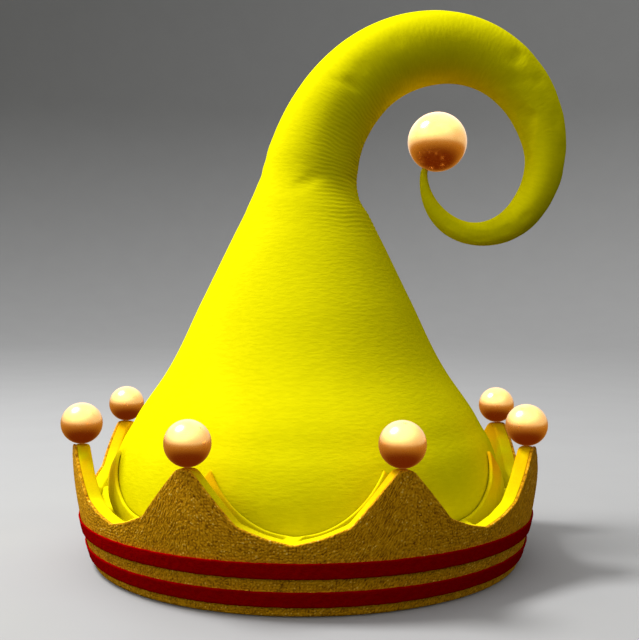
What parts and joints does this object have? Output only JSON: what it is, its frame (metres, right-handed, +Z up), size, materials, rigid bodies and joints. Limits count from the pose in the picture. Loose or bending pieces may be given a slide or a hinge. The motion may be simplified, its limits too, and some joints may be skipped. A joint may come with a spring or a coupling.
{
  "type": "elf hat",
  "caption": "Tall felt elf hat with a curled tail, a gold ball at its tip, and a padded crown of points, each with a gold ball.",
  "frame": {"origin": "under the middle of the hat's bounding box, at the rim it stands on", "axes": "+Z up through the head, -Y is the front view, +X is the side the tail curls to"},
  "size_m": [0.2574, 0.2394, 0.2845],
  "materials": {
    "yellow_felt": "bright yellow ribbed felt",
    "yellow_lining": "bright yellow padded lining",
    "gold_cloth": "pebbled ochre gold cloth",
    "red_ribbon": "dark red ribbon with a faint grain",
    "satin_gold": "satin copper gold metallic coating"
  },
  "bodies": {
    "root": {"hood": "yellow_felt", "inner_collar": "yellow_lining", "crown_band": "yellow_lining", "crown_face": "gold_cloth", "stripe_lower": "red_ribbon", "stripe_upper": "red_ribbon", "crown_ball_1": "satin_gold", "crown_ball_2": "satin_gold", "crown_ball_3": "satin_gold", "crown_ball_4": "satin_gold", "crown_ball_5": "satin_gold", "crown_ball_6": "satin_gold", "crown_ball_7": "satin_gold", "crown_ball_8": "satin_gold", "tip_ball": "satin_gold"}
  },
  "joints": []
}
